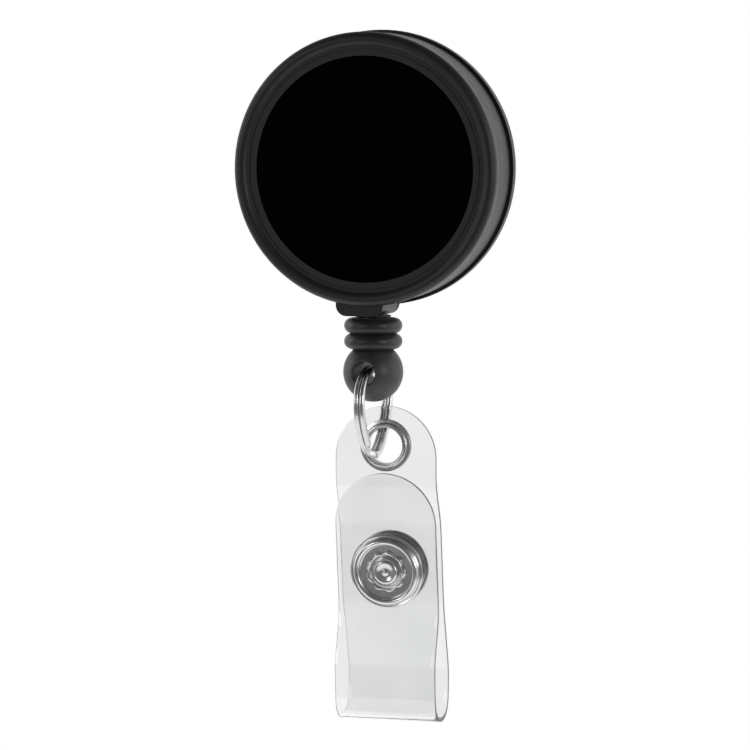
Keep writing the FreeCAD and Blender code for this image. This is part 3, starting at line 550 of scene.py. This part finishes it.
def acetal():
    """Natural acetal: milky white, slightly waxy, with a trace of flow."""
    material, tree, shader, place = finish_material("moulded_natural_acetal", "#dedcd4", 0.42,
                                                    Subsurface_Weight=0.05, IOR=1.48)
    flow = grain(tree, place, 2.5)
    vary(tree, shader, "Roughness", flow, 0.36, 0.5)
    tint(tree, shader, flow, "#d8d6cd", "#e4e2db")
    emboss(tree, shader, [(grain(tree, place, 0.15), 0.004, 0.3)])
    return material


def blued_strip():
    """Tempered spring strip: blue-grey oxide with rolling lines along its length."""
    material, tree, shader, place = finish_material("tempered_spring_strip", "#5d6473", 0.3, Metallic=1.0)
    lines = grain(tree, place, 0.1, stretch=(0.2, 1.0, 0.2))
    vary(tree, shader, "Roughness", lines, 0.22, 0.4)
    tint(tree, shader, grain(tree, place, 1.2), "#525a6a", "#6d7078")
    emboss(tree, shader, [(lines, 0.003, 0.3)])
    return material


def braided_nylon():
    """Black nylon braid: crossing strands 0.25 mm apart give a fine diamond pattern with a dry sheen."""
    material, tree, shader, place = finish_material("braided_black_nylon", "#121213", 0.65, Sheen_Weight=0.3)
    strands = []
    for slant in (38, -38):
        leaning = add(tree, "ShaderNodeMapping", Vector=place, Rotation=(0.0, math.radians(slant), 0.0))
        strand = add(tree, "ShaderNodeTexWave", {"bands_direction": "X"}, Vector=leaning.outputs["Vector"],
                     Scale=1 / (0.25 * MM) / 20, Distortion=0.4)
        strands.append(strand.outputs["Fac"])
    weave = add(tree, "ShaderNodeMath", {"operation": "MAXIMUM"}, _0=strands[0], _1=strands[1])
    weave = weave.outputs["Value"]
    vary(tree, shader, "Roughness", weave, 0.55, 0.75)
    tint(tree, shader, weave, "#0a0a0b", "#1c1c1e")
    emboss(tree, shader, [(weave, 0.05, 0.8)])
    return material


white_acetal = acetal()
nylon = braided_nylon()
for name in ("spool", "spring_cover"):
    dress(nodes[name], white_acetal)
dress(nodes["spiral_spring"], blued_strip())
for name in ("wound_cord", "cord_knot"):
    dress(nodes[name], nylon)


# ---------------------------------------------------------------- cord
# A braided nylon cord, 0.8 mm thick, from the winding through the outlet bush to a stopper knot in the
# bead. Reeled in, only a sliver of it shows above the bumpers; pulled out, it runs straight down.

CORD_Y = -7.2
CORD_TOP, CORD_END = -12.6, -20.6
cord_rows = [(0, CORD_TOP)]
cord_rows += [(0.4, CORD_TOP - (CORD_TOP - CORD_END) * k / 64) for k in range(65)]
cord_rows += [(0, CORD_END)]
cord = turned("cord_run", cord_rows, Matrix.Translation((0, CORD_Y, 0)), segments=24, material=nylon)
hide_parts("cord")
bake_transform(cord)


# ---------------------------------------------------------------- bead
# A tumbled black plastic ball with a stem, a cross hole for the ring and two rubber bumper rings stretched
# over the stem, which soften the stop against the housing.

def nitrile():
    """Moulded nitrile rubber: dry dark grey-black, softly lit all over, with a faint bloom."""
    material, tree, shader, place = finish_material("moulded_nitrile_rubber", "#1f1f20", 0.36,
                                                    Sheen_Weight=0.05)
    bloom = grain(tree, place, 0.8, detail=5.0)
    vary(tree, shader, "Roughness", bloom, 0.32, 0.46)
    tint(tree, shader, bloom, "#1a1a1b", "#252526")
    emboss(tree, shader, [(bloom, 0.03, 0.2), (grain(tree, place, 0.1), 0.005, 0.4)])
    return material


def tumbled_plastic():
    """Tumbled bead plastic: softer and greyer than the housing, with a wide dull highlight."""
    material, tree, shader, place = finish_material("tumbled_black_bead", "#373738", 0.42, IOR=1.5)
    cloud = grain(tree, place, 1.1, detail=4.0)
    vary(tree, shader, "Roughness", cloud, 0.36, 0.48)
    tint(tree, shader, cloud, "#313132", "#3d3d3e")
    emboss(tree, shader, [(cloud, 0.05, 0.15), (grain(tree, place, 0.12), 0.004, 0.35)])
    return material


rubber = nitrile()
BUMPER_TOPS = {"bumper_ring_upper": -17.6, "bumper_ring_lower": -19.45}
for name, top in BUMPER_TOPS.items():
    edge = 0.92
    rows = [(1.65, top - 2 * edge, 0.1)]
    rows += [(3.44 - edge + edge * math.cos(a), top - edge + edge * math.sin(a))
             for a in (math.radians(d) for d in range(-90, 91, 9))]
    rows += [(1.65, top, 0.1)]
    bumper = turned(name + "_moulded", rows, Matrix.Translation((0, CORD_Y, 0)), body="bead", material=rubber)
    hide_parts(name)

BALL_R, BALL_Z, EYE_R, CROWN_Z = 3.55, -24.0, 1.4, -21.31
eye_lip = 1.62
start = math.asin(eye_lip / BALL_R)
ball_rows = []
for side in (-1, 1):
    corner = Vector((EYE_R, side * math.sqrt(BALL_R ** 2 - EYE_R ** 2)))
    on_ball = Vector((BALL_R * math.sin(start), side * BALL_R * math.cos(start)))
    in_hole = corner - Vector((0, side * 0.25))
    ball_rows.append([in_hole * (1 - t) ** 2 + corner * 2 * t * (1 - t) + on_ball * t * t
                      for t in (0, 0.2, 0.4, 0.6, 0.8, 1)])
sphere = [(BALL_R * math.sin(a), -BALL_R * math.cos(a))
          for a in (start + (math.pi - 2 * start) * k / 48 for k in range(1, 48))]
hole = [(EYE_R, 2.9 - 5.8 * k / 12) for k in range(13)]
ball_outline = ball_rows[0] + [Vector(p) for p in sphere] + ball_rows[1][::-1] + [Vector(p) for p in hole]
eye_turn = Matrix.Rotation(math.radians(-4), 4, "Z")
eye_frame = Matrix.Translation((0, CORD_Y, BALL_Z)) @ eye_turn @ axle_frame(0)
points, faces = turned_points(ball_outline, eye_frame, 128)
points = [Vector((p.x, p.y, min(p.z, CROWN_Z))) for p in points]
stem_rows = [(0.55, -17.65), (0.55, -21.6), (1.6, -21.6), (1.6, -17.65, 0.2)]
more_points, more_faces = turned_points(round_corners(stem_rows), Matrix.Translation((0, CORD_Y, 0)), 64)
faces += [tuple(len(points) + v for v in f) for f in more_faces]
ball = build("ball_bead", points + more_points, faces, body="bead", material=tumbled_plastic())
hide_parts("ball_connector")


# ---------------------------------------------------------------- split ring
# A nickel-plated ring of flattened spring wire wound twice round, pulled to an egg shape, threaded through
# the ball's cross hole and the strap's eyelet.

def nickel_plate():
    """Bright nickel: a neutral grey mirror with hairline scratches and slightly soft reflections."""
    material, tree, shader, place = finish_material("bright_nickel_plate", "#d6d6d5", 0.2, Metallic=1.0)
    scratch = grain(tree, place, 0.12, detail=4.0, stretch=(1.0, 1.0, 0.2), roughness=0.7)
    cloud = grain(tree, place, 0.9)
    vary(tree, shader, "Roughness", scratch, 0.13, 0.27)
    tint(tree, shader, cloud, "#cdcdcc", "#dfdfde")
    emboss(tree, shader, [(cloud, 0.02, 0.2), (scratch, 0.003, 0.3)])
    return material


nickel = nickel_plate()
RING_CENTRE = Vector((0, CORD_Y, -28.7))
RING_LAP = math.radians(16)
RING_SEAM = math.radians(250)
WIRE_HALF = (0.31, 0.42)


def ring_point(turn):
    """Point of the wire's centre line, turn in radians from the seam."""
    angle = RING_SEAM + turn
    across = 5.3 * math.cos(angle) * (1 + 0.3 * math.sin(angle))
    step = min(max((turn - 2 * math.pi) / RING_LAP, -1.0), 1.0)
    return RING_CENTRE + Vector((0.335 * math.sin(step * math.pi / 2), across, 5.1 * math.sin(angle)))


first_turn = RING_LAP * 1.2
last_turn = 4 * math.pi - first_turn
WIRE_STEPS = 260
WIRE_ROUND = 0.27
section = [(sx * (WIRE_HALF[0] - WIRE_ROUND) + WIRE_ROUND * math.cos(a),
            sy * (WIRE_HALF[1] - WIRE_ROUND) + WIRE_ROUND * math.sin(a))
           for sx, sy, d in ((1, 1, 0), (-1, 1, 90), (-1, -1, 180), (1, -1, 270))
           for a in (math.radians(d + 22.5 * k) for k in range(5))]
wire_points = []
wire_faces = []
for k in range(WIRE_STEPS + 1):
    turn = first_turn + (last_turn - first_turn) * k / WIRE_STEPS
    centre = ring_point(turn)
    way = (ring_point(turn + 0.01) - ring_point(turn - 0.01)).normalized()
    outward = way.cross(Vector((1, 0, 0))).normalized()
    # the coil's cut ends are dressed round over the last half millimetre
    end = min(k, WIRE_STEPS - k) / 3
    shrink = math.sqrt(max(1 - (1 - min(end, 1.0)) ** 2, 0.04))
    for u, v in section:
        wire_points.append(centre + (Vector((1, 0, 0)) * u + outward * v) * shrink)
n = len(section)
for k in range(WIRE_STEPS):
    for j in range(n):
        following = (j + 1) % n
        wire_faces.append((k * n + j, k * n + following, (k + 1) * n + following, (k + 1) * n + j))
wire_faces += [tuple(range(n)), tuple(WIRE_STEPS * n + j for j in range(n))]
ring = build("split_ring_wire", wire_points, wire_faces, body="ring", material=nickel, sharp=50)
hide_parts("split_ring")


# ---------------------------------------------------------------- strap
# Clear flexible PVC, 0.5 mm thick and 12.4 mm wide, die cut with half-round ends and folded on itself:
# the rear layer carries the eyelet, the front layer is the flap that snaps over a badge's slot.

def clear_vinyl():
    """Clear plasticised PVC: bends light at its edges, with a faint waviness and a slightly soft surface."""
    material, tree, shader, place = finish_material("clear_flexible_pvc", "#f8f8f8", 0.1,
                                                    Transmission_Weight=1.0, IOR=1.53)
    wave = grain(tree, place, 7.0, detail=1.0)
    haze = grain(tree, place, 0.7, detail=4.0)
    vary(tree, shader, "Roughness", haze, 0.07, 0.16)
    tint(tree, shader, wave, "#eeefef", "#f9f9f9")
    emboss(tree, shader, [(wave, 0.3, 0.2), (haze, 0.012, 0.2)])
    return material


vinyl = clear_vinyl()
STRAP_HALF = 6.2
STRAP_THICK = 0.5
FACE_Y = -10.8
SNAP_Z, SNAP_LEAN = -47.8, math.radians(7)


def layer_y(z, side):
    """Y of a layer's straight stretch at a height: side 1 is the rear layer, -1 the flap."""
    return FACE_Y + 7.69 + side * 1.05 / math.cos(SNAP_LEAN) + math.tan(SNAP_LEAN) * (SNAP_Z - z)


STRAP_X = 0.8
FOLD = Vector((FACE_Y + 8.4, -65.8))
strap_corners = [
    (FACE_Y + 6.1, -28.2, 0), (FACE_Y + 6.1, -37.6, 6.0), (layer_y(-42.0, 1), -42.0, 6.0),
    (layer_y(-52.2, 1), -52.2, 8.0), (FACE_Y + 11.4, -60.2, 6.0), (FACE_Y + 11.1, -65.8, 2.3),
    (FACE_Y + 6.0, -65.8, 2.3), (FACE_Y + 5.6, -58.9, 6.0), (layer_y(-53.4, -1), -53.4, 6.0),
    (layer_y(-36.2, -1), -36.2, 0),
]
strap_line = soften(bend_line(strap_corners), 24)
middle = min(range(len(strap_line)), key=lambda k: (strap_line[k] - FOLD).length)
back_line = strap_line[:middle + 1]
flap_line = strap_line[middle:][::-1]


def tab(length):
    """Outline of a layer: half-round at its free end, cut square at the fold."""
    def outline(inset):
        half = STRAP_HALF - inset
        side = [Vector((length - (length - STRAP_HALF) * k / 60, half)) for k in range(60)]
        arc = [Vector((STRAP_HALF - half * math.sin(a), half * math.cos(a)))
               for a in (math.pi * k / 48 for k in range(49))]
        return side + arc + [Vector((p.x, -p.y)) for p in reversed(side)]
    return outline


def reach(line, height):
    """Distance along a line at which it first passes a height."""
    gone = 0.0
    for a, b in zip(line, line[1:]):
        if (a.y - height) * (b.y - height) <= 0:
            return gone + abs(a.y - height) / abs(a.y - b.y) * (b - a).length
        gone += (b - a).length
    raise ValueError("the line doesn't pass that height")


back_length = along(back_line)[1]
flap_length = along(flap_line)[1]
snap_back = SNAP_Z + 1.05 * math.sin(SNAP_LEAN)
snap_front = SNAP_Z - 1.05 * math.sin(SNAP_LEAN)
back_layer = bent_sheet("strap_rear_layer", back_line, tab(back_length),
                        [(reach(back_line, -32.9), 2.38), (reach(back_line, snap_back), 1.25)],
                        STRAP_THICK, 0.06, closed=False, aside=STRAP_X, body="strap", material=vinyl)
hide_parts("strap_back")
flap = bent_sheet("strap_front_flap", flap_line, tab(flap_length), [(reach(flap_line, snap_front), 1.0)],
                  STRAP_THICK, 0.06, closed=False, aside=STRAP_X, material=vinyl)
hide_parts("strap_flap")
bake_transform(flap)


# ---------------------------------------------------------------- eyelet
# A drawn nickel-plated brass eyelet: its rolled flange sits on the front of the strap, and the end of its
# barrel is curled over a washer at the back.

eyelet = turned("eyelet_rolled", [
    (2.1, 0.3), (2.1, 0.02, 0.15), (2.66, 0.0, 0.06), (2.7, 0.1, 0.03), (2.35, 0.1), (2.35, 0.9),
    (3.1, 0.9, 0.05), (3.1, 1.02, 0.06), (2.82, 1.06, 0.1), (2.7, 1.08, 0.08), (2.62, 1.24, 0.12),
    (2.42, 1.3, 0.15), (2.18, 1.24, 0.15), (2.1, 1.0, 0.2),
], axle_frame(-4.05, -32.9, x=STRAP_X), body="strap", material=nickel)
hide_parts("eyelet")
washer = turned("eyelet_washer_ring", [
    (2.38, 0.0, 0.04), (3.1, 0.06, 0.1), (3.1, 0.3, 0.04), (2.38, 0.3),
], axle_frame(-4.15, -32.9, x=STRAP_X), body="strap", material=nickel)
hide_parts("eyelet_washer")


# ---------------------------------------------------------------- snap fastener
# A four-part ring snap in nickel-plated brass. A cap and a stud hold the rear layer, a socket and a ring
# hold the flap, and the front post is crimped over the ring in nine petals round a dimpled dome.

snap_centre = Vector((0, FACE_Y + 7.69, SNAP_Z))
snap_start = snap_centre + Vector((0, math.cos(SNAP_LEAN), math.sin(SNAP_LEAN))) * 2.0
snap_frame = axle_frame(snap_start.y, snap_start.z, 7.0, STRAP_X)
REAR_FACE, REAR_INNER, FLAP_INNER, FLAP_FACE = 0.7, 1.2, 2.8, 3.3

cap = turned("snap_rear_cap", [
    (0, 1.3), (0.6, 1.3, 0.1), (0.6, 0.42, 0.15), (2.6, 0.4), (3.7, 0.42, 0.4), (4.5, 0.5, 0.1),
    (4.5, 0.62, 0.06), (4.34, REAR_FACE, 0.1), (4.16, 0.6, 0.08), (3.96, REAR_FACE, 0.1), (1.2, REAR_FACE),
    (1.2, 1.6, 0.1), (0, 1.6),
], snap_frame, body="strap", material=nickel)
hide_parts("snap_rivet")

stud = turned("snap_stud_drawn", [
    (1.25, REAR_INNER), (3.2, REAR_INNER, 0.05), (3.2, 1.5, 0.12), (1.45, 1.5, 0.12), (1.35, 1.8, 0.1),
    (1.55, 2.05, 0.2), (1.3, 2.5, 0.25), (0, 2.5), (0, 1.7), (1.25, 1.7, 0.1),
], snap_frame, body="strap", material=nickel)
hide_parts("snap_stud")

socket = turned("snap_socket_drawn", [
    (1.0, 2.6), (1.75, 2.6, 0.1), (1.75, 2.15, 0.08), (3.1, 2.15, 0.15), (3.3, 2.35, 0.1),
    (3.3, FLAP_INNER, 0.05), (1.0, FLAP_INNER),
], snap_frame, body="flap", material=nickel)
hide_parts("snap_socket")

roll_middle, roll_height, roll_radius = 3.65, 3.69, 0.38
roll = [(roll_middle + roll_radius * math.cos(a), roll_height + roll_radius * math.sin(a))
        for a in (math.radians(d) for d in range(-15, 211, 15))]
ring_rows = [(1.05, FLAP_FACE), (4.5, FLAP_FACE, 0.05), (4.5, 3.46, 0.07), (4.3, 3.56, 0.08)]
ring_rows += [(4.12, 3.5, 0.05)]
ring_rows += roll + [(3.2, 3.44, 0.08), (1.05, 3.42)]
front_ring = turned("snap_front_ring", ring_rows, snap_frame, segments=144, body="flap", material=nickel)
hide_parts("snap_ring")

PETALS = 9
post_rows = [
    (0, 2.65, 0), (0.9, 2.65, 0), (0.95, 2.72, 0), (0.95, 3.43, 0), (2.2, 3.44, 1), (2.36, 3.47, 1),
    (2.44, 3.54, 1), (2.42, 3.66, 1), (2.32, 3.76, 0.9), (2.2, 3.8, 0.6), (2.06, 3.76, 0.3), (1.92, 3.62, 0.1),
    (1.82, 3.48, 0), (1.72, 3.44, 0), (1.62, 3.48, 0), (1.56, 3.6, 0), (1.54, 3.8, 0), (1.5, 3.95, 0),
    (1.4, 4.06, 0), (1.24, 4.12, 0), (1.04, 4.1, 0), (0.86, 4.03, 0), (0.68, 3.98, 0), (0.5, 3.96, 0),
    (0.4, 3.96, 0), (0.3, 4.02, 0), (0.2, 4.08, 0), (0.1, 4.11, 0), (0, 4.12, 0),
]


def petal_wave(number, angle):
    """Nine lobes on the crimped edge, deepest at its outside."""
    share = post_rows[number][2]
    lobe = math.cos(PETALS * angle)
    notch = -0.08 * max(0.0, -lobe) ** 3
    return share * (0.1 * lobe + notch), share * 0.04 * lobe


points, faces = turned_points([row[:2] for row in post_rows], snap_frame, 216, petal_wave)
post = build("snap_post_crimped", points, faces, body="flap", material=nickel, sharp=60)
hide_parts("snap_post")
